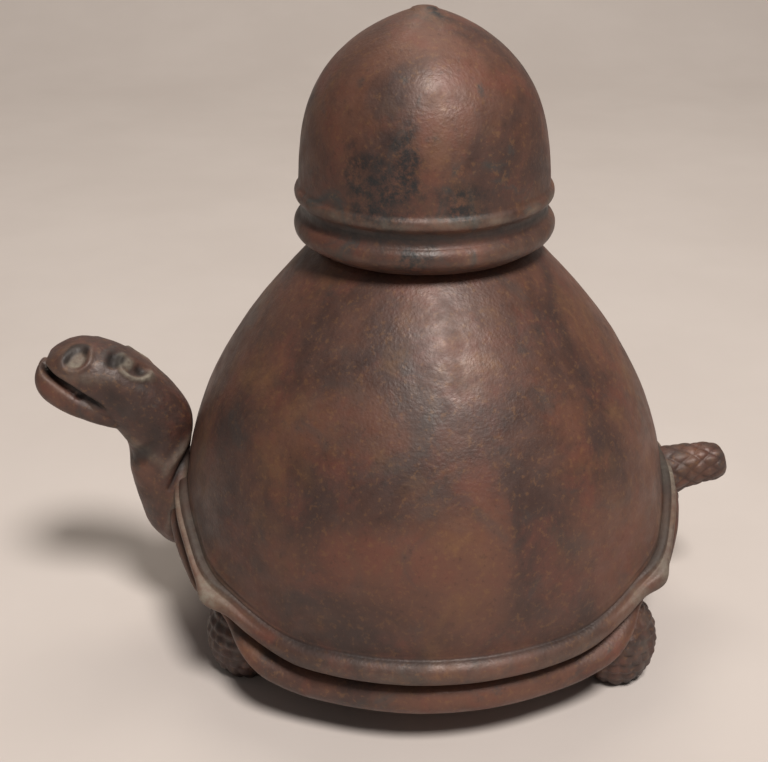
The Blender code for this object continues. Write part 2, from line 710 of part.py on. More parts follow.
def main():
    for obj in list(bpy.data.objects):
        bpy.data.objects.remove(obj)
    iron = material("rusted_iron", (0.13, 0.065, 0.045), 0.55, 0.3)
    steel = material("screw_steel", (0.16, 0.13, 0.11), 0.5, 0.8)
    axis = empty("dome_axis", (DOME_OFFSET, 0, 0))
    seat = empty("lid_lift", (0, 0, SEAT_HEIGHT), axis)
    place("carapace", carapace_mesh(), iron, axis)
    place("plastron", plastron_mesh(), iron, axis)
    place("head_and_neck", head_and_neck_mesh(), iron, axis)
    place("tail", tail_mesh(), iron, axis)
    for name, (azimuth, radius) in foot_spots().items():
        place(name, foot_mesh(name, azimuth, radius), iron, axis)
    place("lid", lid_mesh(), iron, seat, Matrix.Translation((0, 0, -SEAT_HEIGHT)))
    place_screws(steel, axis)


main()
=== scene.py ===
"""Looks of a cast iron tortoise bank: fine castings, rusty iron, a pale table and a camera.

Lengths are in millimetres until a mesh is made. Reach is measured from the dome's upright
axis, which the lid shares, and height from the table.
"""

import math

import bmesh
import bpy
import numpy as np
from mathutils import Matrix, Vector, noise


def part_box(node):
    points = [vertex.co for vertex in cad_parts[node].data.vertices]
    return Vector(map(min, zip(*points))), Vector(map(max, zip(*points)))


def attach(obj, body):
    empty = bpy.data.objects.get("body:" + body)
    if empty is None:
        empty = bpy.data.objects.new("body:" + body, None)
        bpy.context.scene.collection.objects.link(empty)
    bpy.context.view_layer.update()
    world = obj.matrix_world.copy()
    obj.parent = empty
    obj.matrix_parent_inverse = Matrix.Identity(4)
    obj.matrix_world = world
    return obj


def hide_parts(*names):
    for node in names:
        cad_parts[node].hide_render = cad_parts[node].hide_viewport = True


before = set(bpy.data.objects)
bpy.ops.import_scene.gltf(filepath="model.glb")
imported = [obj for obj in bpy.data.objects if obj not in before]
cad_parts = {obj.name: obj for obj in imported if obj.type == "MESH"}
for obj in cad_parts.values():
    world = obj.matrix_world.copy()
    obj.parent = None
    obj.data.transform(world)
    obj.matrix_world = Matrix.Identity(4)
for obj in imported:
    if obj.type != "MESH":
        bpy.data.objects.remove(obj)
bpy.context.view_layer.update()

MM = 0.001
DEG = math.pi / 180
TURN = 2 * math.pi

# ---------------------------------------------------------------- sizes from the frame


def node_box(node):
    """Lowest and highest corners of a CAD node, in millimetres."""
    return [[value / MM for value in corner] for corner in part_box(node)]


LID_LOW, LID_HIGH = node_box("lid")
SHELL_LOW, SHELL_HIGH = node_box("carapace")
TRAY_LOW = node_box("plastron")[0]
TAIL_HIGH = node_box("tail")[1]

AXIS_X = (LID_LOW[0] + LID_HIGH[0]) / 2
SEAT = SHELL_HIGH[2]
FLANK_SEAM = SHELL_LOW[2]
UNDERSIDE = TRAY_LOW[2]
FLANK_BEAD = 2.2
FLANK_OVERHANG = -0.3
FLANK_START = 75 * DEG
DOME_RADIUS = SHELL_HIGH[1] - FLANK_BEAD - FLANK_OVERHANG
TAIL_REACH = TAIL_HIGH[0] - AXIS_X
LID_TOP = LID_HIGH[2]
SPIGOT_DEPTH = 3.2
LID_BASE = LID_LOW[2] + SPIGOT_DEPTH

# Shells
WALL = 2.8
SEAM_GAP = 0.4
DOME_SQUARENESS = 2.33
DOME_TAPER = 1.25
DOME_RISE = 67.6
DOME_TUCK = 0.1
CROWN_WALL = 1.15
MOUTH_RADIUS = 13.6
MOUTH_RING = 4.0
MOUTH_CHAMFER = 0.5
CORNER_SEAM = FLANK_SEAM + 5.5
CROWN_SEAM = CORNER_SEAM + 8.0
DOME_WAIST = CORNER_SEAM + 1.6
CORNER_ANGLE = 35.5 * DEG
CORNER_SPREAD = 7.0 * DEG
FLANK_RUN = 25.0 * DEG
FLANK_STEEPNESS = 1.7
ARCH_BEAD = 1.7
ARCH_OVERHANG = 1.5
ARCH_START = 110 * DEG
CROWN_OVERHANG = -0.2
CORNER_FLARE = 0.8
CORNER_FILLET = 4.5
FLANK_FILLET = 0.25
FILLET_SPREAD = 12 * DEG
FLARE_SPREAD = 9 * DEG
RIM_GROOVE = 0.6
GROOVE_PLACE = 42 * DEG
GROOVE_SPREAD = 15 * DEG
CORNER_RIDGE = 0.35
RIDGE_RISE = 1.5
RIDGE_WIDTH = 0.6
TRAY_RADIUS = DOME_RADIUS - 2.6
TRAY_BEAD = 3.0
TRAY_FLOOR = 2.8
BELLY_RADIUS = DOME_RADIUS + 1.4
BELLY_DRAW = 8.2
BELLY_CURVE = 0.75
LIP_BEAD = 1.6
BEAD_DROP = 1.0
TRAY_FLARE = 2.3
TRAY_FLARE_PLACE = 9 * DEG
TRAY_FLARE_SPREAD = 13 * DEG
TRAY_FLARE_HEIGHT = 3.2
KNOB = 1.2
KNOB_SPREAD = 2.9 * DEG
KNOB_PLACE = -20 * DEG
KNOB_ROUND = 50 * DEG
SLOT = (27.0, 17.0, 3.2)
SLOT_HEIGHT = SEAT - 20.8

# Lid
LID_RADIUS = 20.2
LID_SQUARENESS = 4
LID_TAPER = 0.747
LID_WALL = 3.0
LID_FLANGE = 2.8
SPIGOT_RADIUS = 13.3
SPIGOT_BORE = 10.7
RIM_BEAD = 2.05
RIM_SWELL = 0.9
RIM_MIDDLE = LID_BASE + 3.0
RING_BEAD = 1.0
RING_SWELL = 0.6
RING_MIDDLE = LID_BASE + 8.4

# Screws, for the holes that show
CASE_SCREW_ANGLE = 60 * DEG
CASE_SCREW_REACH = TRAY_RADIUS - 3.5
LUG_RADIUS = 3.8
LUG_HEIGHT = 9.0
HOLE_RADIUS = 1.7
HOLE_HEIGHT = 7.0
OVERLAP = 1.0
SINK_RADIUS = 2.9
SINK_DEPTH = 1.9

# ---------------------------------------------------------------- helpers


def clamp(value):
    return min(1.0, max(0.0, value))


def smooth(value):
    share = clamp(value)
    return share * share * (3 - 2 * share)


def mix(first, second, share):
    return first + (second - first) * share


def bump(distance, width):
    return math.exp(-((distance / width) ** 2))


def steps(first, last, count, power=1.0):
    """Evenly spaced values, or closer together near the first with a power above 1."""
    return [mix(first, last, (i / count) ** power) for i in range(count + 1)]


def skin(rings, loop=False):
    """A bmesh over rings of points in millimetres from the axis. One point is a pole."""
    bm = bmesh.new()
    made = []
    for ring in rings:
        points = [Vector(((AXIS_X + x) * MM, y * MM, z * MM)) for x, y, z in ring]
        made.append([bm.verts.new(point) for point in points])
    pairs = list(zip(made, made[1:]))
    if loop:
        pairs.append((made[-1], made[0]))
    for upper, lower in pairs:
        count = max(len(upper), len(lower))
        for i in range(count):
            j = (i + 1) % count
            corners = [upper[i % len(upper)], lower[i % len(lower)]]
            corners += [lower[j % len(lower)], upper[j % len(upper)]]
            bm.faces.new(dict.fromkeys(corners))
    bmesh.ops.recalc_face_normals(bm, faces=bm.faces)
    return bm


def piece_from(name, bm, sharp=50):
    mesh = bpy.data.meshes.new(name)
    bm.to_mesh(mesh)
    bm.free()
    mesh.shade_smooth()
    mesh.set_sharp_from_angle(angle=sharp * DEG)
    obj = bpy.data.objects.new(name, mesh)
    bpy.context.scene.collection.objects.link(obj)
    return obj


def swept(name, section, turns, loop):
    """A piece whose outline at each turn about the axis is section(turn)."""
    columns = [section(turn) for turn in turns]
    rings = []
    for index, (radius, height) in enumerate(columns[0]):
        if radius == 0:
            rings.append([(0, 0, height)])
            continue
        rings.append(
            [
                (column[index][0] * math.cos(t), column[index][0] * math.sin(t), column[index][1])
                for column, t in zip(columns, turns)
            ]
        )
    return piece_from(name, skin(rings, loop))


def applied(obj):
    """Bakes the piece's modifiers into its mesh."""
    graph = bpy.context.evaluated_depsgraph_get()
    mesh = bpy.data.meshes.new_from_object(obj.evaluated_get(graph))
    obj.modifiers.clear()
    obj.data = mesh
    return obj


def cut(obj, operation, tools):
    """One exact Boolean with each tool. The tools are removed."""
    for tool in tools:
        modifier = obj.modifiers.new("Boolean", "BOOLEAN")
        modifier.operation = operation
        modifier.solver = "EXACT"
        modifier.object = tool
    applied(obj)
    for tool in tools:
        bpy.data.objects.remove(tool)
    return obj


def rod(radius, low, high, turn=0.0, reach=0.0, count=40):
    """An upright cylinder at a turn and reach."""
    x, y = reach * math.cos(turn), reach * math.sin(turn)
    angles = steps(0, TURN, count)[:-1]
    circle = [(x + radius * math.cos(a), y + radius * math.sin(a)) for a in angles]
    rings = [[(x, y, high)]]
    rings += [[(px, py, z) for px, py in circle] for z in (high, low)]
    return piece_from("rod", skin(rings + [[(x, y, low)]]))


def arrays(obj):
    """Points in millimetres from the axis, and unit normals."""
    mesh = obj.data
    points = np.empty(len(mesh.vertices) * 3)
    mesh.vertices.foreach_get("co", points)
    points = points.reshape(-1, 3) / MM - (AXIS_X, 0, 0)
    normals = np.array([vertex.normal for vertex in mesh.vertices])
    return points, normals


def push(obj, points, normals, amount):
    """Moves each point along its normal by an amount in millimetres."""
    places = (points + normals * amount[:, None] + (AXIS_X, 0, 0)) * MM
    obj.data.vertices.foreach_set("co", places.ravel())
    obj.data.update()


def grain(points, size, seed=0.0):
    """Smooth noise from -1 to 1, with lumps of about the given size in millimetres."""
    shift = Vector((seed, 2 * seed, -seed))
    return np.array([noise.noise(Vector(point) / size + shift) for point in points])


def paint(obj, name, values):
    """Stores one number a point for the material to read."""
    layer = obj.data.attributes.new(name, "FLOAT", "POINT")
    layer.data.foreach_set("value", np.clip(values, 0, 1).astype(np.float32))


def sand_cast(obj, seed, lumps=0.09):
    """Gives a casting its slight unevenness."""
    points, normals = arrays(obj)
    amount = lumps * grain(points, 9, seed) + 0.35 * lumps * grain(points, 2.2, seed + 5)
    push(obj, points, normals, amount)


# ---------------------------------------------------------------- shell surfaces


def end_angle(turn):
    """0 over the neck or tail and 90 degrees at a flank."""
    return math.atan2(abs(math.sin(turn)), abs(math.cos(turn)))


def round_turns(count=88):
    """Turns about the axis, closer together near the four corners."""
    arch = count // 3
    ends = [CORNER_ANGLE * (1 - (1 - i / arch) ** 1.25) for i in range(arch)]
    flank = steps(CORNER_ANGLE, math.pi / 2, count - arch, 1.25)[:-1]
    quarter = ends + flank
    half = quarter + [math.pi / 2] + [math.pi - angle for angle in reversed(quarter[1:])]
    return half + [angle + math.pi for angle in half]


def arch_share(turn):
    return smooth((CORNER_ANGLE + CORNER_SPREAD - end_angle(turn)) / (2 * CORNER_SPREAD))


def seam_height(turn):
    angle = end_angle(turn)
    if angle < CORNER_ANGLE:
        return mix(CROWN_SEAM, CORNER_SEAM, (angle / CORNER_ANGLE) ** 2)
    rise = clamp(1 - (angle - CORNER_ANGLE) / FLANK_RUN) ** FLANK_STEEPNESS
    return mix(FLANK_SEAM, CORNER_SEAM, rise)


def domed(radius, rise, height):
    above = clamp((height - DOME_WAIST) / rise)
    below = clamp((DOME_WAIST - height) / DOME_WAIST)
    return radius * (1 - above**DOME_SQUARENESS) ** DOME_TAPER * (1 - DOME_TUCK * below**2)


def ridged(turn):
    """How deep the rim's middle groove is: none along a flank, full at a corner and over an arch."""
    return smooth((CORNER_ANGLE + 22 * DEG - end_angle(turn)) / (20 * DEG))


def margin(turn):
    """Centre radius, centre height and radius of the rolled bead on the carapace's edge."""
    share = arch_share(turn)
    bead = mix(FLANK_BEAD, ARCH_BEAD, share)
    flare = CORNER_FLARE * bump(end_angle(turn) - CORNER_ANGLE, FLARE_SPREAD)
    crown = clamp(1 - end_angle(turn) / CORNER_ANGLE)
    overhang = mix(FLANK_OVERHANG, mix(ARCH_OVERHANG, CROWN_OVERHANG, crown), share)
    return DOME_RADIUS + overhang + flare, seam_height(turn) + bead, bead


def shell_radius(turn, start, lip, height):
    """The dome's outside, which sweeps out to the rim in a hollow curve near a corner."""
    near = bump(end_angle(turn) - CORNER_ANGLE, FILLET_SPREAD)
    lift = max(0.0, lip - domed(DOME_RADIUS, DOME_RISE, start))
    fillet = lift * math.exp((start - height) / mix(FLANK_FILLET, CORNER_FILLET, near))
    ridge = CORNER_RIDGE * near * bump(height - start - RIDGE_RISE, RIDGE_WIDTH)
    return domed(DOME_RADIUS, DOME_RISE, height) + fillet + ridge


def shell_section(turn):
    """Outline of the carapace: dome, rolled rim, inner face and mouth ring."""
    centre, height, bead = margin(turn)
    first = mix(FLANK_START, ARCH_START, arch_share(turn))
    lip = centre + bead * math.cos(first)
    valley = height + bead * math.sin(first)
    knob = KNOB * bump(end_angle(turn) - CORNER_ANGLE, KNOB_SPREAD)
    outline = [(MOUTH_RADIUS + MOUTH_CHAMFER, SEAT)]
    for z in reversed(steps(valley, SEAT, 90, 1.5)):
        outline.append((shell_radius(turn, valley, lip, z), z))
    for angle in steps(first, -90 * DEG, 26)[1:]:
        groove = RIM_GROOVE * ridged(turn) * bump(angle - GROOVE_PLACE, GROOVE_SPREAD)
        size = bead - groove + knob * bump(angle - KNOB_PLACE, KNOB_ROUND)
        outline.append((centre + size * math.cos(angle), height + size * math.sin(angle)))
    ring = SEAT - MOUTH_RING
    inner_rise = DOME_RISE - CROWN_WALL * WALL
    for z in steps(height - bead, ring, 24):
        outline.append((domed(DOME_RADIUS - WALL, inner_rise, z), z))
    return outline + [(MOUTH_RADIUS, ring), (MOUTH_RADIUS, SEAT - MOUTH_CHAMFER)]


def belly(height):
    """Reach of the tray's wall under an arch."""
    rise = (height - UNDERSIDE) / (CORNER_SEAM - UNDERSIDE)
    return BELLY_RADIUS - BELLY_DRAW * (1 - clamp(rise) ** BELLY_CURVE)


def tray_outside(turn, height):
    """Reach of the tray's wall and of the bead along its upper edge."""
    thinning = smooth((CORNER_ANGLE + 16 * DEG - end_angle(turn)) / (18 * DEG))
    size = mix(TRAY_BEAD, LIP_BEAD, thinning)
    middle = seam_height(turn) - size - BEAD_DROP
    bead = size * math.sqrt(max(0.0, 1 - ((height - middle) / size) ** 2))
    flare = TRAY_FLARE * bump(end_angle(turn) - CORNER_ANGLE - TRAY_FLARE_PLACE, TRAY_FLARE_SPREAD)
    flare *= bump(height - middle, TRAY_FLARE_HEIGHT)
    return mix(TRAY_RADIUS + flare, belly(height), arch_share(turn)) + bead


def tray_section(turn):
    """Outline of the plastron, from the middle of its underside to its floor."""
    top = seam_height(turn) - SEAM_GAP
    outline = [(0, UNDERSIDE)] + [(r, UNDERSIDE) for r in (8, 16, 24, 30)]
    outline += [(tray_outside(turn, z), z) for z in steps(UNDERSIDE, top, 40)]
    floor = UNDERSIDE + TRAY_FLOOR
    share = arch_share(turn)
    for z in steps(top, floor, 12):
        outline.append((mix(TRAY_RADIUS, belly(z), share) - WALL, z))
    return outline + [(r, floor) for r in (24, 12)] + [(0, floor)]


def case_screw_turns():
    side = [CASE_SCREW_ANGLE, math.pi - CASE_SCREW_ANGLE]
    return side + [turn + math.pi for turn in side]


def shell_piece():
    shell = swept("shell_dome", shell_section, round_turns(), True)
    lugs = []
    holes = []
    lug_foot, lug_top = FLANK_SEAM + SEAM_GAP, FLANK_SEAM + LUG_HEIGHT
    hole_foot, hole_top = FLANK_SEAM - 2 * OVERLAP, FLANK_SEAM + HOLE_HEIGHT
    for turn in case_screw_turns():
        lugs.append(rod(LUG_RADIUS, lug_foot, lug_top, turn, CASE_SCREW_REACH))
        holes.append(rod(HOLE_RADIUS, hole_foot, hole_top, turn, CASE_SCREW_REACH))
    cut(shell, "UNION", lugs)
    reach = domed(DOME_RADIUS, DOME_RISE, SLOT_HEIGHT)
    below = domed(DOME_RADIUS, DOME_RISE, SLOT_HEIGHT - 1)
    above = domed(DOME_RADIUS, DOME_RISE, SLOT_HEIGHT + 1)
    slope = math.atan((below - above) / 2)
    bm = bmesh.new()
    bmesh.ops.create_cube(bm, size=1)
    bmesh.ops.scale(bm, vec=Vector(SLOT) * MM, verts=bm.verts)
    place = Matrix.Translation((AXIS_X * MM, reach * MM, SLOT_HEIGHT * MM))
    bmesh.ops.transform(bm, matrix=place @ Matrix.Rotation(slope, 4, "X"), verts=bm.verts)
    cut(shell, "DIFFERENCE", holes + [piece_from("slot_cutter", bm)])
    return shell


def tray_piece():
    tray = swept("shell_tray", tray_section, round_turns(), False)
    floor = UNDERSIDE + TRAY_FLOOR
    under = UNDERSIDE - OVERLAP
    bosses = []
    cuts = []
    for turn in case_screw_turns():
        bosses.append(rod(LUG_RADIUS, floor - OVERLAP, FLANK_SEAM - SEAM_GAP, turn, CASE_SCREW_REACH))
        cuts.append(rod(HOLE_RADIUS, under, FLANK_SEAM + OVERLAP, turn, CASE_SCREW_REACH))
        cuts.append(rod(SINK_RADIUS, under, UNDERSIDE + SINK_DEPTH, turn, CASE_SCREW_REACH))
    cut(tray, "UNION", bosses)
    return cut(tray, "DIFFERENCE", cuts)


def shade_shells(obj, seed):
    """Marks dusty ridges along the rims, and paints shade along the seam and in the valley above the
    rim bead.

    Above the rim it paints shade on the dome low down and towards the head.
    """
    points, _ = arrays(obj)
    reach = np.hypot(points[:, 0], points[:, 1])
    turn = np.arctan2(points[:, 1], points[:, 0])
    seam = np.array([seam_height(t) for t in turn])
    corner = np.array([ridged(t) for t in turn])
    rise = points[:, 2] - seam
    rim = np.exp(-(((rise - 2.0) / 2.6) ** 2)) * (reach > DOME_RADIUS - 4.5)
    patch = 0.5 + 0.9 * grain(points, 5, seed)
    paint(obj, "dust", rim * np.clip(0.2 + 0.75 * corner, 0, 1) * patch)
    # Painted shade on the dome: darker low down and towards the head
    low = np.clip((36 - points[:, 2]) / 22, 0, 1) * (0.6 + 0.5 * grain(points, 9, seed + 1))
    headward = np.clip(-points[:, 0] / DOME_RADIUS, 0, 1)
    shade = 0.45 * low * (reach > DOME_RADIUS - 12) + 0.3 * headward
    arch = np.array([arch_share(t) for t in turn])
    valley = 0.75 * np.exp(-(((rise - mix(4.35, 3.3, arch)) / 0.4) ** 2))
    # Painted shade along the seam, in the valley above the rim bead, and on the dome's low and head
    # side
    paint(obj, "painted_shade", np.exp(-((rise / 0.55) ** 2)) + valley + shade * (rise > 5))


# ---------------------------------------------------------------- lid


def acorn(radius, top, height):
    share = clamp((height - LID_BASE) / (top - LID_BASE))
    return radius * (1 - share**LID_SQUARENESS) ** LID_TAPER


# Turn in degrees, height, half width and half height of each dark stain
LID_STAINS = [
    (-113, RING_MIDDLE + 4.0, 4.6, 5.0),
    (-103, RING_MIDDLE + 8.5, 2.6, 5.0),
    (-124, RING_MIDDLE + 8.0, 2.4, 3.0),
    (-78, RING_MIDDLE + 2.6, 4.0, 2.4),
    (-99, RIM_MIDDLE - 0.4, 3.2, 2.4),
    (-60, LID_TOP - 0.4, 9.0, 1.2),
    (62, RING_MIDDLE + 5.0, 5.0, 4.0),
    (150, RING_MIDDLE + 9.0, 4.0, 3.0),
]


def lid_piece():
    peak = LID_TOP - 0.1
    outline = [(0, LID_TOP)]
    # Rounded crown of the tip
    for drop, radius in ((0.03, 0.7), (0.12, 1.3), (0.3, 1.9)):
        outline.append((radius, LID_TOP - drop))
    shoulder = RING_MIDDLE + 1.3 * RING_BEAD
    for z in steps(LID_TOP - 0.6, shoulder, 70, 1.5):
        outline.append((acorn(LID_RADIUS, peak, z), z))
    for angle in steps(70 * DEG, -70 * DEG, 10):
        swell = RING_SWELL * math.cos(angle)
        outline.append((LID_RADIUS + swell, RING_MIDDLE + RING_BEAD * math.sin(angle)))
    low = RING_MIDDLE - RING_BEAD
    high = RIM_MIDDLE + RIM_BEAD
    for share in (0.25, 0.5, 0.75):
        outline.append((LID_RADIUS - 0.35, mix(low, high, share)))
    for angle in steps(62 * DEG, -75 * DEG, 20):
        swell = RIM_SWELL - RIM_BEAD * (1 - math.cos(angle))
        outline.append((LID_RADIUS + swell, RIM_MIDDLE + RIM_BEAD * math.sin(angle)))
    outline += [(LID_RADIUS - RIM_BEAD, LID_BASE), (SPIGOT_RADIUS, LID_BASE)]
    outline += [(SPIGOT_RADIUS, LID_LOW[2] + 0.3), (SPIGOT_RADIUS - 0.3, LID_LOW[2])]
    outline += [(SPIGOT_BORE, LID_LOW[2]), (SPIGOT_BORE, LID_BASE + LID_FLANGE)]
    ceiling = peak - LID_WALL
    for z in steps(LID_BASE + LID_FLANGE, ceiling, 20)[:-1]:
        outline.append((acorn(LID_RADIUS - LID_WALL, ceiling, z), z))
    outline.append((0, ceiling))
    lid = swept("acorn_lid", lambda turn: outline, steps(0, TURN, 240)[:-1], False)
    sand_cast(lid, 11)
    points, _ = arrays(lid)
    rise = points[:, 2]
    groove = np.exp(-(((rise - (low + high) / 2) / 0.9) ** 2))
    ridge = np.exp(-(((rise - RING_MIDDLE) / 0.8) ** 2))
    ridge += 0.4 * np.exp(-(((rise - RIM_MIDDLE) / 1.2) ** 2))
    paint(lid, "dust", 0.6 * ridge * (0.5 + grain(points, 5, 3)))
    # Painted shade in the groove between ring and rim, and on the side towards the head
    paint(lid, "painted_shade", 0.9 * groove + 0.3 * np.clip(-points[:, 0] / LID_RADIUS, 0, 1))
    turn = np.arctan2(points[:, 1], points[:, 0])
    stain = 0.5 * groove
    for place, height, wide, tall in LID_STAINS:
        away = LID_RADIUS * (turn - place * DEG)
        spread = np.hypot(away / wide, (rise - height) / tall) + 0.8 * grain(points, 2.2, place)
        stain += np.clip(1.5 - spread, 0, 1)
    paint(lid, "stain", stain)
    return lid


# ---------------------------------------------------------------- head and neck


def loft(stations, count=64, between=6, square=0.86):
    """Rounded rings between pairs of outline points, seen from the side, on a smooth path.

    Each station is the reach and height of one outline point, the same for the opposite
    one, and half the width. A square below 1 makes the rings boxier.
    """
    places = np.arange(len(stations), dtype=float)
    fine = np.linspace(0, len(stations) - 1, between * (len(stations) - 1) + 1)
    columns = [curve(fine, places, column) for column in np.array(stations, float).T]
    rings = []
    for reach_a, height_a, reach_b, height_b, wide in zip(*columns):
        middle = ((reach_a + reach_b) / 2, (height_a + height_b) / 2)
        half = ((reach_a - reach_b) / 2, (height_a - height_b) / 2)
        ring = []
        for angle in steps(0, TURN, count)[:-1]:
            rise = math.copysign(abs(math.cos(angle)) ** square, math.cos(angle))
            side = math.copysign(abs(math.sin(angle)) ** square, math.sin(angle))
            reach = middle[0] + half[0] * rise
            ring.append((-reach, wide * side, middle[1] + half[1] * rise))
        rings.append(ring)
    poles = [[tuple(np.mean(ring, axis=0))] for ring in (rings[0], rings[-1])]
    return skin([poles[0]] + rings + [poles[1]])


def curve(where, places, values):
    """A smooth curve through values at evenly spaced places."""
    slopes = np.gradient(values)
    index = np.clip(where.astype(int), 0, len(places) - 2)
    t = where - index
    rise = values[index + 1] - values[index]
    bend = (slopes[index] - rise) * (1 - t) - (slopes[index + 1] - rise) * t
    return values[index] + rise * t + bend * t * (1 - t)


# Each row: reach and height of a point on the upper side and of the opposite one below, and
# half the width. Reach is counted towards the head here.
NECK_AND_SKULL = [
    (39.0, 25.0, 41.5, 15.5, 6.4),
    (41.0, 27.5, 45.3, 16.4, 6.2),
    (41.0, 31.0, 48.4, 19.2, 5.6),
    (40.8, 33.5, 50.0, 24.0, 5.3),
    (40.3, 36.0, 51.0, 29.5, 5.0),
    (39.9, 38.4, 51.1, 33.8, 5.0),
    (40.2, 40.9, 51.2, 36.6, 5.4),
    (41.7, 43.9, 52.2, 38.8, 5.9),
    (44.1, 47.0, 54.0, 40.6, 6.2),
    (47.2, 50.1, 56.0, 41.8, 6.4),
    (50.4, 52.4, 57.2, 43.8, 6.3),
    (53.6, 53.8, 58.8, 45.8, 6.1),
    (56.8, 54.4, 60.2, 47.4, 5.7),
    (59.5, 53.9, 61.4, 49.2, 5.0),
    (61.4, 53.0, 62.2, 50.4, 4.0),
    (62.6, 52.2, 62.9, 51.2, 2.8),
]
JAW = [
    (51.0, 43.8, 51.6, 39.2, 5.0),
    (53.5, 44.2, 55.0, 40.3, 5.7),
    (56.2, 46.2, 58.3, 41.6, 5.8),
    (59.0, 48.3, 61.2, 42.9, 5.4),
    (61.2, 49.7, 63.6, 44.6, 4.8),
    (62.8, 50.7, 64.8, 46.3, 3.9),
    (63.7, 51.1, 65.1, 48.0, 2.9),
    (64.3, 50.8, 64.9, 49.4, 1.7),
]
VOXEL = 0.22


def joined(name, parts):
    """One closed surface over overlapping bmeshes."""
    bm = bmesh.new()
    for part in parts:
        mesh = bpy.data.meshes.new("part")
        part.to_mesh(mesh)
        part.free()
        bm.from_mesh(mesh)
        bpy.data.meshes.remove(mesh)
    obj = piece_from(name, bm)
    remesh = obj.modifiers.new("Remesh", "REMESH")
    remesh.mode = "VOXEL"
    remesh.voxel_size = VOXEL * MM
    soften = obj.modifiers.new("Smooth", "SMOOTH")
    soften.iterations = 6
    soften.factor = 0.5
    applied(obj)
    obj.data.shade_smooth()
    return obj


class Sculpt:
    """Adds up raised and sunk features on a piece, laid out as seen from the side."""

    def __init__(self, obj):
        self.obj = obj
        self.points, self.normals = arrays(obj)
        self.amount = np.zeros(len(self.points))
        self.dust = np.zeros(len(self.points))
        # Painted shade in creases and hollows, which the material darkens towards black
        self.painted_shade = np.zeros(len(self.points))

    def offset(self, reach, height, tilt, long, short):
        """Distance from a spot seen from the side, in half lengths and half widths."""
        forward = -self.points[:, 0] - reach
        up = self.points[:, 2] - height
        turn = tilt * DEG
        along = forward * math.cos(turn) + up * math.sin(turn)
        across = -forward * math.sin(turn) + up * math.cos(turn)
        return along / long, across / short

    def side(self, inner):
        """None along the middle and full on the sides.

        On the far side it also fades out where the skin turns up or down, so that the
        features there don't notch the outline seen from the near side.
        """
        facing = np.clip((self.normals[:, 1] - 0.3) / 0.35, 0, 1)
        facing[self.points[:, 1] < 0] = 1
        return np.clip(np.abs(self.points[:, 1]) / inner, 0, 1) ** 2 * facing

    def spot(self, reach, height, tilt, long, short, depth, dust=0.0, painted_shade=0.0, inner=2.0, crisp=1.6):
        """A raised or sunk oval, with steeper sides for a larger crisp. A negative depth sinks it."""
        along, across = self.offset(reach, height, tilt, long, short)
        weight = np.exp(-((along**2 + across**2) ** crisp)) * self.side(inner)
        self.amount += depth * weight
        self.dust += dust * weight
        self.painted_shade += painted_shade * weight

    def ring(self, reach, height, tilt, long, short, depth, width=0.35, dust=0.0, painted_shade=0.0, inner=2.0):
        """A raised or sunk oval line. Its painted shade lies mostly on its upper half."""
        along, across = self.offset(reach, height, tilt, long, short)
        weight = np.exp(-(((np.hypot(along, across) - 1) / width) ** 2)) * self.side(inner)
        self.amount += depth * weight
        self.dust += dust * weight
        self.painted_shade += painted_shade * weight * np.clip(0.4 + 1.5 * across, 0, 1)

    def fold(self, first, last, width, depth, dust=0.0, painted_shade=0.0, inner=1.5):
        """A raised or sunk line between two spots seen from the side."""
        a, b = np.array(first), np.array(last)
        flat = np.stack([-self.points[:, 0], self.points[:, 2]], axis=1)
        along = np.clip((flat - a) @ (b - a) / ((b - a) @ (b - a)), 0, 1)
        away = np.linalg.norm(flat - (a + along[:, None] * (b - a)), axis=1)
        fade = np.sin(np.pi * np.clip(0.12 + 0.76 * along, 0, 1))
        weight = np.exp(-((away / width) ** 2)) * fade * self.side(inner)
        self.amount += depth * weight
        self.dust += dust * weight
        self.painted_shade += painted_shade * weight

    def done(self, seed, lumps=0.07):
        rough = lumps * grain(self.points, 4, seed) + 0.5 * lumps * grain(self.points, 1.3, seed + 3)
        push(self.obj, self.points, self.normals, self.amount + rough)
        paint(self.obj, "dust", self.dust)
        paint(self.obj, "painted_shade", self.painted_shade)


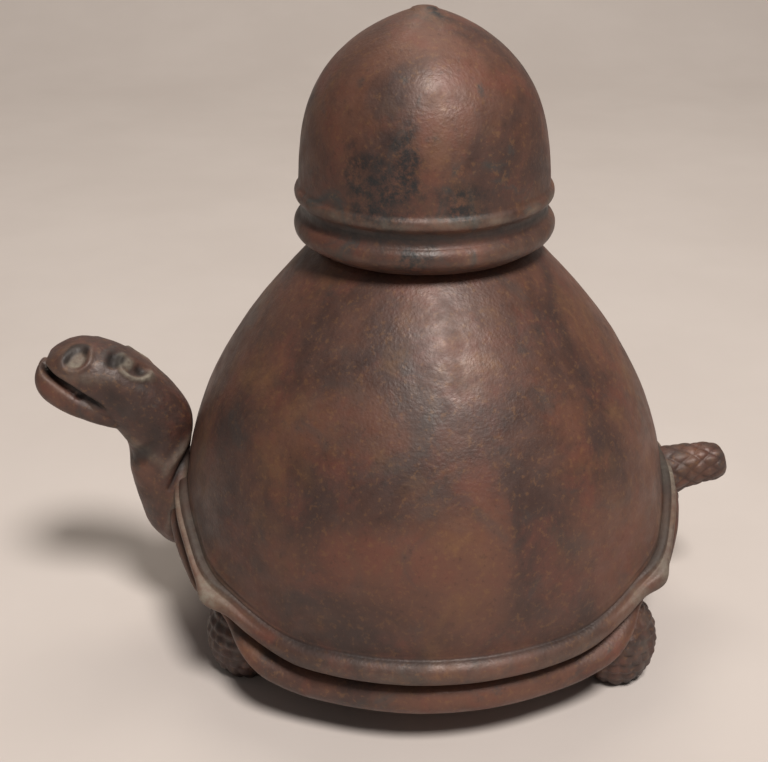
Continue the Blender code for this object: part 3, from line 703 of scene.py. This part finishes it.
def head_piece():
    head = joined("head_and_neck_skin", [loft(NECK_AND_SKULL), loft(JAW)])
    work = Sculpt(head)
    # Nostril: an oval recess with a flat pale floor, with painted shadow under its upper edge
    work.spot(57.3, 53.0, -17, 1.75, 1.1, -0.85, dust=0.9, inner=2.6, crisp=4)
    work.ring(57.3, 53.0, -17, 2.5, 1.6, 0.2, 0.2, dust=0.15, inner=2.6)
    work.ring(57.3, 53.1, -17, 1.8, 1.1, 0.0, 0.26, painted_shade=1.6, inner=2.0)
    # Eye: a hollow in front, then a lidded loop with a pit and a bump in it; painted shade darkens the
    # hollow and the pit
    work.spot(50.9, 52.3, 5, 1.5, 1.0, -0.6, painted_shade=1.3, inner=2.6, crisp=2.2)
    work.spot(48.1, 50.5, 33, 2.3, 0.8, -0.4, painted_shade=0.3, inner=2.2, crisp=3)
    work.ring(48.1, 50.5, 33, 2.75, 1.25, 0.5, 0.2, dust=1.3, inner=1.8)
    work.spot(47.2, 49.9, 33, 1.0, 0.45, -0.35, painted_shade=1.0, inner=2.0)
    work.spot(49.2, 51.2, 33, 0.9, 0.55, 0.35, dust=1.0, inner=2.0)
    work.spot(45.3, 48.6, 33, 0.8, 0.7, 0.4, dust=0.6, inner=3.0)
    # Mouth: a slit between the lips, with a notch in the lower one; painted shade darkens the slit, the
    # notch and a shallow hollow
    work.fold((63.4, 51.0), (57.9, 47.7), 0.55, -1.0, painted_shade=1.8, inner=0.6)
    work.fold((59.8, 49.0), (53.6, 44.4), 0.6, -1.0, painted_shade=1.8, inner=0.6)
    work.spot(57.4, 46.5, 40, 0.6, 0.5, -0.5, painted_shade=0.9)
    work.fold((63.9, 50.2), (58.6, 46.2), 0.55, 0.25, dust=0.25)
    work.fold((57.2, 45.8), (54.4, 43.4), 0.6, 0.25, dust=0.15)
    work.fold((61.8, 51.6), (55.0, 46.6), 0.6, 0.22, dust=0.12)
    work.fold((60.5, 50.9), (51.5, 49.6), 0.9, 0.25, dust=0.35)
    work.spot(51.4, 45.9, 60, 2.6, 1.5, -0.35, painted_shade=0.55)
    # Throat fold with a hollow under it, and the neck's slanting folds; painted shade darkens the
    # hollows and the grooves between the folds
    work.fold((53.0, 40.3), (44.8, 33.2), 0.9, 0.4, dust=0.55)
    work.spot(48.8, 34.8, -35, 3.4, 1.5, -0.7, painted_shade=1.0)
    work.spot(46.5, 40.0, 60, 3.6, 2.4, -0.2, painted_shade=0.5)
    work.fold((45.0, 31.0), (40.4, 37.0), 0.75, 0.55, dust=0.6)
    work.fold((44.2, 28.6), (40.2, 35.0), 0.45, -0.7, painted_shade=1.3)
    work.fold((45.2, 20.0), (40.6, 33.4), 0.65, 0.6, dust=0.6)
    work.fold((43.8, 19.0), (40.0, 31.6), 0.45, -0.6, painted_shade=1.2)
    work.fold((50.0, 29.0), (46.8, 19.5), 1.6, -0.25, painted_shade=0.2)
    work.done(21)
    return head


# ---------------------------------------------------------------- tail and feet

# Distance in from the tip, height and radius
TAIL = [
    (13.0, 25.0, 4.4),
    (10.6, 25.8, 4.3),
    (8.4, 26.5, 4.0),
    (6.4, 26.9, 3.75),
    (4.6, 27.2, 3.55),
    (3.0, 27.4, 3.4),
    (1.7, 27.5, 3.1),
    (0.8, 27.55, 2.5),
    (0.3, 27.6, 1.6),
]
TAIL_SLOPE = 12 * DEG
TAIL_ROW = 3.6
TAIL_LOBES = 9


def tail_piece():
    stations = []
    for inset, height, size in TAIL:
        reach = inset - TAIL_REACH
        lean, rise = size * math.sin(TAIL_SLOPE), size * math.cos(TAIL_SLOPE)
        stations.append((reach + lean, height + rise, reach - lean, height - rise, 0.95 * size))
    tail = joined("tail_skin", [loft(stations, square=0.95)])
    work = Sculpt(tail)
    out = work.points[:, 0]
    inset = TAIL_REACH - out
    up = work.points[:, 2] - np.interp(inset, [0, 10], [27.4, 26.0])
    around = np.arctan2(up, work.points[:, 1]) * TAIL_LOBES / TURN
    fade = np.clip((inset - 0.9) / 1.0, 0, 1) * np.clip((13 - inset) / 2.0, 0, 1)
    along = inset / TAIL_ROW + 0.22 * grain(work.points, 4, 8)
    scale = np.abs(np.sin(math.pi * (along + around)) * np.sin(math.pi * (along - around)))
    work.amount += fade * (0.34 * np.sqrt(scale) - 0.17)
    # Painted shade in the crevices between the scales
    work.painted_shade += 0.3 * fade * np.clip(1 - 3.0 * scale, 0, 1)
    work.dust += 0.25 * fade * np.clip(scale - 0.5, 0, 1)
    work.done(31)
    return tail


FOOT_SIZE = (6.4, 6.8, 8.4)
FOOT_CENTRE = UNDERSIDE + 0.5
SCALE_ROW = 1.95
SCALE_WIDTH = 2.4
SCALE_LIFT = 0.7


def foot_piece(node, turn, reach, seed):
    """A paw with a flat sole and rows of overlapping scales."""
    rings = []
    for polar in steps(0, math.pi, 72):
        level = FOOT_SIZE[2] * math.cos(polar)
        if polar in (0, math.pi):
            rings.append([(0, 0, level)])
            continue
        size = math.sin(polar)
        rings.append(
            [
                (size * FOOT_SIZE[0] * math.cos(a), size * FOOT_SIZE[1] * math.sin(a), level)
                for a in steps(0, TURN, 120)[:-1]
            ]
        )
    scaled = [[lift_scale(point, seed) for point in ring] for ring in rings]
    placed = []
    for ring in scaled:
        placed.append([stand(point, turn, reach) for point in ring])
    foot = piece_from(node + "_skin", skin(placed), 180)
    points, _ = arrays(foot)
    # Painted shade: the paw darkens towards its sole on the table
    dark = np.clip(1 - points[:, 2] / 3.0, 0, 1) * 0.8
    paint(foot, "painted_shade", dark)
    paint(foot, "dust", 0.25 * np.clip(grain(points, 3, seed), 0, 1))
    return foot


def lift_scale(point, seed):
    """Moves a paw's point out by the height of the scale that it lies on."""
    x, y, z = point
    turn = math.atan2(y, x)
    row = (FOOT_SIZE[2] - z) / SCALE_ROW + 0.16 * math.sin(2 * turn + seed)
    index = math.floor(row)
    level = 1 - (index + 0.5) * SCALE_ROW / FOOT_SIZE[2]
    girth = TURN * FOOT_SIZE[0] * math.sqrt(max(0.05, 1 - level * level))
    count = max(4, round(girth / SCALE_WIDTH))
    place = turn / TURN * count + (index % 2) / 2 + 0.14 * math.sin(3 * turn + 2 * index)
    sideways = place - math.floor(place) - 0.5
    down = row - index
    crown = max(0.0, 1 - (2 * sideways) ** 2)
    lift = SCALE_LIFT * down**0.9 * (1 - down**9) * crown**0.55 - 0.3
    size = math.sqrt(x * x + y * y + z * z)
    share = 1 + lift / size
    return (x * share, y * share, z * share)


def stand(point, turn, reach):
    """Puts a paw's point under the tray, with its sole on the table."""
    x, y, z = point
    out = reach + x
    cos, sin = math.cos(turn), math.sin(turn)
    return (out * cos - y * sin, out * sin + y * cos, max(0.0, z + FOOT_CENTRE))


def feet():
    front = (28 * DEG, TRAY_RADIUS - 3.2)
    rear = (37 * DEG, TRAY_RADIUS - 0.4)
    return {
        "front_left_foot": (math.pi + front[0], front[1]),
        "front_right_foot": (math.pi - front[0], front[1]),
        "rear_left_foot": (-rear[0], rear[1]),
        "rear_right_foot": (rear[0], rear[1]),
    }


# ---------------------------------------------------------------- materials


class Nodes:
    """A short way to build a material's node tree."""

    def __init__(self, name):
        self.material = bpy.data.materials.new(name)
        self.material.use_nodes = True
        self.tree = self.material.node_tree
        self.shader = self.tree.nodes["Principled BSDF"]
        self.place = self.add("ShaderNodeTexCoord").outputs["Object"]

    def add(self, kind, **settings):
        node = self.tree.nodes.new(kind)
        for key, value in settings.items():
            setattr(node, key, value)
        return node

    def link(self, value, socket):
        if hasattr(value, "is_output"):
            self.tree.links.new(value, socket)
        else:
            socket.default_value = value

    def noise(self, size, detail=4.0, rough=0.55, warp=0.0):
        """Noise with lumps of about the given size in millimetres."""
        node = self.add("ShaderNodeTexNoise")
        self.link(self.place, node.inputs["Vector"])
        node.inputs["Scale"].default_value = 1 / (size * MM)
        node.inputs["Detail"].default_value = detail
        node.inputs["Roughness"].default_value = rough
        node.inputs["Distortion"].default_value = warp
        return node.outputs["Fac"]

    def math(self, operation, first, second=0.0, limit=False):
        node = self.add("ShaderNodeMath", operation=operation, use_clamp=limit)
        self.link(first, node.inputs[0])
        self.link(second, node.inputs[1])
        return node.outputs[0]

    def spread(self, value, low, high, out_low=0.0, out_high=1.0):
        """Maps low..high onto another range, smoothly and without going past it."""
        node = self.add("ShaderNodeMapRange", interpolation_type="SMOOTHSTEP")
        self.link(value, node.inputs["Value"])
        ends = {"From Min": low, "From Max": high, "To Min": out_low, "To Max": out_high}
        for name, number in ends.items():
            node.inputs[name].default_value = number
        return node.outputs["Result"]

    def blend(self, share, first, second):
        node = self.add("ShaderNodeMix", data_type="RGBA")
        self.link(share, node.inputs[0])
        self.link(first, node.inputs[6])
        self.link(second, node.inputs[7])
        return node.outputs[2]

    def mark(self, name):
        return self.add("ShaderNodeAttribute", attribute_name=name).outputs["Fac"]

    def bump(self, value, depth, strength=1.0, under=None):
        """A bump of the given depth in millimetres."""
        node = self.add("ShaderNodeBump")
        self.link(value, node.inputs["Height"])
        node.inputs["Distance"].default_value = depth * MM
        node.inputs["Strength"].default_value = strength
        if under:
            self.link(under, node.inputs["Normal"])
        return node.outputs["Normal"]


BROWN = (0.138, 0.060, 0.039, 1)
DEEP = (0.056, 0.030, 0.025, 1)
RED = (0.165, 0.052, 0.034, 1)
OCHRE = (0.215, 0.108, 0.046, 1)
SLATE = (0.045, 0.048, 0.047, 1)
SLATE_BLACK = (0.014, 0.016, 0.018, 1)
DUST = (0.225, 0.195, 0.155, 1)
BLACK = (0.010, 0.008, 0.008, 1)
STEEL = (0.20, 0.17, 0.15, 1)
STEEL_RUST = (0.09, 0.045, 0.03, 1)
PAPER_DULL = (0.62, 0.565, 0.535, 1)
PAPER_PALE = (0.65, 0.595, 0.565, 1)


def iron(name, slate=0.5, ochre=0.5, red=0.5, patch=14.0, dark=0.0):
    """Rusty cast iron with an ochre bloom and slate patches.

    The marks painted on a piece give it black stains, dusty ridges, and painted shade in seams,
    grooves, creases and on shaded sides.
    """
    n = Nodes(name)
    ground = n.spread(n.noise(patch * 1.6, 5, 0.6, 0.6), 0.36 + dark, 0.66 + dark)
    colour = n.blend(ground, DEEP, BROWN)
    rust = n.spread(n.noise(patch * 0.7, 6, 0.7, 0.3), 0.46, 0.68, 0.0, red)
    colour = n.blend(rust, colour, RED)
    bloom = n.spread(n.noise(patch, 6, 0.65, 0.4), 0.5, 0.78, 0.0, ochre)
    colour = n.blend(bloom, colour, OCHRE)
    cold = n.spread(n.noise(patch * 0.9, 5, 0.6, 1.2), 0.53, 0.68, 0.0, slate)
    colour = n.blend(cold, colour, SLATE)
    speckle = n.noise(0.9, 3, 0.6)
    colour = n.blend(n.spread(speckle, 0.54, 0.70, 0.0, 0.35), colour, OCHRE)
    colour = n.blend(n.spread(speckle, 0.26, 0.42, 0.28, 0.0), colour, BLACK)
    blot = n.spread(n.noise(1.6, 6, 0.8), 0.36, 0.6, 0.1, 0.95)
    stain = n.math("MULTIPLY", n.mark("stain"), blot, True)
    colour = n.blend(stain, colour, SLATE_BLACK)
    dust = n.math("MULTIPLY", n.mark("dust"), n.spread(n.noise(1.4, 5, 0.7), 0.3, 0.7, 0.35, 1.0))
    colour = n.blend(n.math("MULTIPLY", dust, 1.1, True), colour, DUST)
    # Painted shade: the shade mark darkens the colour towards black
    colour = n.blend(n.math("MULTIPLY", n.mark("painted_shade"), 0.85, True), colour, BLACK)
    n.link(colour, n.shader.inputs["Base Color"])
    n.shader.inputs["Metallic"].default_value = 0.1
    n.shader.inputs["Specular IOR Level"].default_value = 0.6
    rough = n.spread(n.noise(3.5, 5, 0.6), 0.3, 0.7, 0.44, 0.62)
    rough = n.math("ADD", rough, n.math("MULTIPLY", dust, 0.25), True)
    n.link(rough, n.shader.inputs["Roughness"])
    coarse = n.bump(n.noise(1.7, 2, 0.5), 0.08, 0.6)
    fine = n.bump(n.noise(0.5, 2, 0.5), 0.065, 0.9, coarse)
    n.link(fine, n.shader.inputs["Normal"])
    return n.material


def screw_steel():
    n = Nodes("screw_steel_worn")
    rust = n.spread(n.noise(1.6, 5, 0.6), 0.42, 0.62)
    n.link(n.blend(rust, STEEL, STEEL_RUST), n.shader.inputs["Base Color"])
    n.shader.inputs["Metallic"].default_value = 0.7
    n.link(n.spread(n.noise(0.7), 0.3, 0.7, 0.35, 0.65), n.shader.inputs["Roughness"])
    n.link(n.bump(n.noise(0.4), 0.05, 0.5), n.shader.inputs["Normal"])
    return n.material


def paper():
    n = Nodes("table_paper")
    tone = n.spread(n.noise(60, 4), 0.3, 0.7)
    n.link(n.blend(tone, PAPER_DULL, PAPER_PALE), n.shader.inputs["Base Color"])
    n.shader.inputs["Roughness"].default_value = 0.85
    n.link(n.bump(n.noise(1.2), 0.03, 0.3), n.shader.inputs["Normal"])
    return n.material


# ---------------------------------------------------------------- assembly


def wear(piece, material, body, nodes):
    piece.data.materials.clear()
    piece.data.materials.append(material)
    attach(piece, body)
    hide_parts(*nodes)


SHEET_FRONT = -600
SHEET_FLAT = 420
SHEET_CURVE = 260
SHEET_TOP = (720, 900)
SHEET_HALF_WIDTH = 1100


def table():
    """A pale sheet that curves up behind."""
    profile = [(SHEET_FRONT, 0.0), (SHEET_FLAT, 0.0)]
    for angle in steps(0, 80 * DEG, 14)[1:]:
        rise = SHEET_CURVE * (1 - math.cos(angle))
        profile.append((SHEET_FLAT + SHEET_CURVE * math.sin(angle), rise))
    profile.append(SHEET_TOP)
    bm = bmesh.new()
    rows = []
    for x in (-SHEET_HALF_WIDTH, SHEET_HALF_WIDTH):
        rows.append([bm.verts.new((x * MM, y * MM, z * MM)) for y, z in profile])
    for i in range(len(profile) - 1):
        bm.faces.new((rows[0][i], rows[1][i], rows[1][i + 1], rows[0][i + 1]))
    floor = piece_from("table_sheet", bm, 180)
    floor.data.materials.append(paper())


def lamp(name, place, size, power, colour, aim=(0, 0, 40)):
    data = bpy.data.lights.new(name, "AREA")
    data.shape = "DISK"
    data.size = size * MM
    data.energy = power
    data.color = colour
    obj = bpy.data.objects.new(name, data)
    bpy.context.scene.collection.objects.link(obj)
    obj.location = Vector(place) * MM
    obj.rotation_euler = (Vector(aim) * MM - obj.location).to_track_quat("-Z", "Y").to_euler()


def lights():
    lamp("key", (140, -440, 780), 230, 7.6, (1.0, 0.94, 0.88))
    lamp("overhead", (0, 300, 700), 400, 1.3, (1.0, 0.92, 0.80))
    world = bpy.data.worlds.new("studio")
    world.use_nodes = True
    sky = world.node_tree.nodes["Background"]
    sky.inputs["Color"].default_value = (0.95, 0.90, 0.86, 1)
    sky.inputs["Strength"].default_value = 0.115
    bpy.context.scene.world = world
    bpy.context.scene.view_settings.view_transform = "Standard"


CAMERA_REACH = 202.1
CAMERA_HEIGHT = 139.7
CAMERA_TURN = 4.2 * DEG
CAMERA_PITCH = 25.1 * DEG
CAMERA_LENS = 60.94
CAMERA_SHIFT = -0.0527


def camera():
    data = bpy.data.cameras.new("camera")
    data.sensor_width = 36
    data.lens = CAMERA_LENS
    data.shift_x = CAMERA_SHIFT
    data.clip_start = 0.01
    obj = bpy.data.objects.new("camera", data)
    bpy.context.scene.collection.objects.link(obj)
    x = AXIS_X - CAMERA_REACH * math.sin(CAMERA_TURN)
    y = -CAMERA_REACH * math.cos(CAMERA_TURN)
    obj.location = Vector((x, y, CAMERA_HEIGHT)) * MM
    obj.rotation_euler = (90 * DEG - CAMERA_PITCH, 0, -CAMERA_TURN)
    bpy.context.scene.camera = obj


def build():
    dome_iron = iron("carapace_rust", slate=0.35, ochre=0.6)
    tray_iron = iron("plastron_rust", slate=0.6, ochre=0.45, patch=10)
    lid_iron = iron("lid_rust", slate=0.9, ochre=0.35, patch=12)
    limb_iron = iron("limb_rust", slate=0.45, ochre=0.25, red=0.35, patch=8, dark=0.1)
    shell = shell_piece()
    sand_cast(shell, 1)
    shade_shells(shell, 2)
    wear(shell, dome_iron, "shell", ["carapace"])
    tray = tray_piece()
    sand_cast(tray, 3, 0.06)
    shade_shells(tray, 4)
    wear(tray, tray_iron, "shell", ["plastron"])
    wear(lid_piece(), lid_iron, "lid", ["lid"])
    wear(head_piece(), limb_iron, "shell", ["head_and_neck"])
    wear(tail_piece(), limb_iron, "shell", ["tail"])
    for seed, (node, (turn, reach)) in enumerate(feet().items(), 40):
        wear(foot_piece(node, turn, reach, seed), limb_iron, "shell", [node])
    steel = screw_steel()
    for name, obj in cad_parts.items():
        if "screw" in name:
            obj.data.materials.clear()
            obj.data.materials.append(steel)


build()
table()
lights()
camera()
